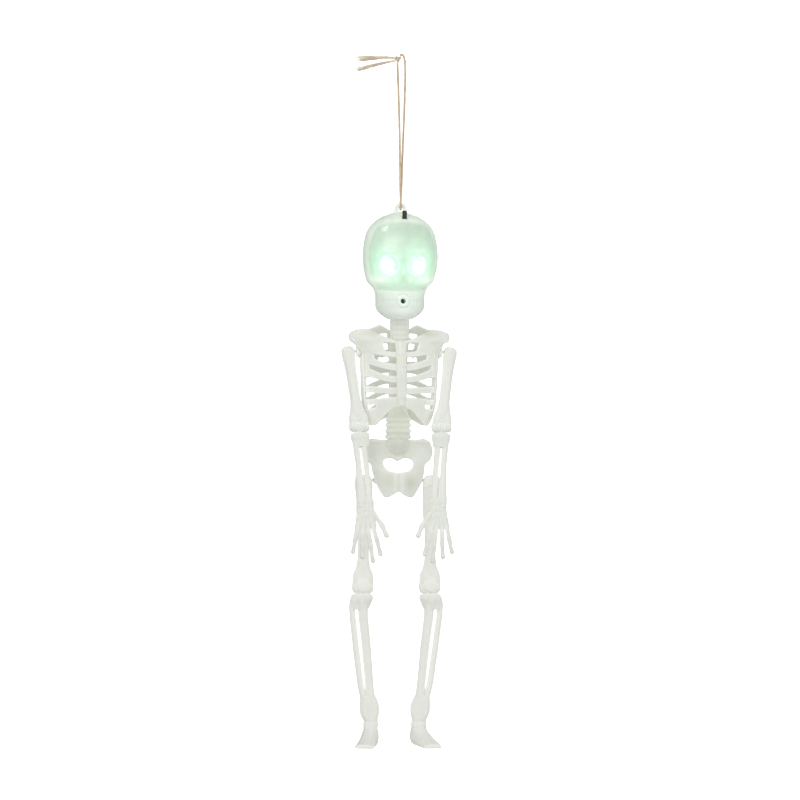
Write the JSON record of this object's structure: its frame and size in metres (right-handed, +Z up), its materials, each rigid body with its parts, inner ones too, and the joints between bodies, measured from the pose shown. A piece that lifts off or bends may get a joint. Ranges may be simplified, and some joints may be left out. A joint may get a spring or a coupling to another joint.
{
  "type": "halloween skeleton figure",
  "caption": "Small jointed plastic skeleton decoration with a light-up skull, hung by a loop of twine.",
  "frame": {"origin": "the top inside of the twine loop, where a hook or nail carries the figure; everything hangs below it", "axes": "+Z up along the hanging figure, +X to the figure's own left, -Y the way the face looks"},
  "size_m": [0.0754, 0.0552, 0.4476],
  "materials": {
    "board": "green solder mask",
    "bone_plastic": "satin, slightly greenish, translucent",
    "cell_steel": "bright nickel plate",
    "contact": "bright nickel plate",
    "dark_steel": "bright nickel plate",
    "holder": "black, moulded",
    "knob": "black, moulded",
    "led_lens": "clear epoxy",
    "pin_plastic": "black, moulded",
    "skull_plastic": "satin, translucent",
    "steel": "bright nickel plate",
    "switch_case": "black, moulded",
    "twine": "natural hemp fibre"
  },
  "bodies": {
    "skull": {"skull_front_shell": "skull_plastic", "skull_rear_shell": "skull_plastic", "skull_screw": "dark_steel", "led_left": "led_lens", "led_right": "led_lens", "circuit_board": "board", "board_screw_left": "steel", "board_screw_right": "steel", "switch_body": "switch_case", "battery_holder": "holder", "battery_cell_1": "cell_steel", "battery_cell_2": "cell_steel", "battery_cell_3": "cell_steel", "battery_contact_minus": "contact", "battery_contact_plus": "contact", "hang_cord_front": "twine", "hang_cord_back": "twine", "cord_knot": "twine", "cord_tail_upper": "twine", "cord_tail_lower": "twine"},
    "switch_knob": {"switch_knob": "knob"},
    "torso": {"spine": "bone_plastic", "ribcage_front": "bone_plastic", "ribcage_rear": "bone_plastic", "pelvis": "bone_plastic", "shoulder_pin_left": "pin_plastic", "shoulder_pin_right": "pin_plastic", "hip_pin_left": "pin_plastic", "hip_pin_right": "pin_plastic"},
    "upper_arm_left": {"humerus_left": "bone_plastic", "elbow_pin_left": "pin_plastic"},
    "forearm_left": {"forearm_left": "bone_plastic"},
    "thigh_left": {"femur_left": "bone_plastic", "knee_pin_left": "pin_plastic"},
    "shin_left": {"shin_left": "bone_plastic"},
    "upper_arm_right": {"humerus_right": "bone_plastic", "elbow_pin_right": "pin_plastic"},
    "forearm_right": {"forearm_right": "bone_plastic"},
    "thigh_right": {"femur_right": "bone_plastic", "knee_pin_right": "pin_plastic"},
    "shin_right": {"shin_right": "bone_plastic"}
  },
  "joints": [
    {"name": "switch_slide", "type": "slide", "parent": "skull", "child": "switch_knob", "axis": [0, 1, 0], "range_m": [0, 0.002]},
    {"name": "neck_swivel", "type": "hinge", "parent": "skull", "child": "torso", "pos_m": [0, 0, -0.1675], "axis": [0, 0, 1], "range_deg": [-90, 90]},
    {"name": "shoulder_left", "type": "hinge", "parent": "torso", "child": "upper_arm_left", "pos_m": [0.0332, 0.001, -0.1918], "axis": [-1, 0, 0], "range_deg": [-4, 100]},
    {"name": "elbow_left", "type": "hinge", "parent": "upper_arm_left", "child": "forearm_left", "pos_m": [0.0266, -0.01022, -0.2404], "axis": [1, 0, 0], "range_deg": [-105, 0]},
    {"name": "hip_left", "type": "hinge", "parent": "torso", "child": "thigh_left", "pos_m": [0.0216, 0.003, -0.2752], "axis": [-1, 0, 0], "range_deg": [-80, 12]},
    {"name": "knee_left", "type": "hinge", "parent": "thigh_left", "child": "shin_left", "pos_m": [0.0219, 0.0054, -0.3445], "axis": [1, 0, 0], "range_deg": [0, 100]},
    {"name": "shoulder_right", "type": "hinge", "parent": "torso", "child": "upper_arm_right", "pos_m": [-0.0332, 0.001, -0.1918], "axis": [-1, 0, 0], "range_deg": [-4, 100]},
    {"name": "elbow_right", "type": "hinge", "parent": "upper_arm_right", "child": "forearm_right", "pos_m": [-0.0266, -0.01022, -0.2404], "axis": [1, 0, 0], "range_deg": [-105, 0]},
    {"name": "hip_right", "type": "hinge", "parent": "torso", "child": "thigh_right", "pos_m": [-0.0216, 0.003, -0.2752], "axis": [-1, 0, 0], "range_deg": [-80, 12]},
    {"name": "knee_right", "type": "hinge", "parent": "thigh_right", "child": "shin_right", "pos_m": [-0.0219, 0.0054, -0.3445], "axis": [1, 0, 0], "range_deg": [0, 100]}
  ]
}
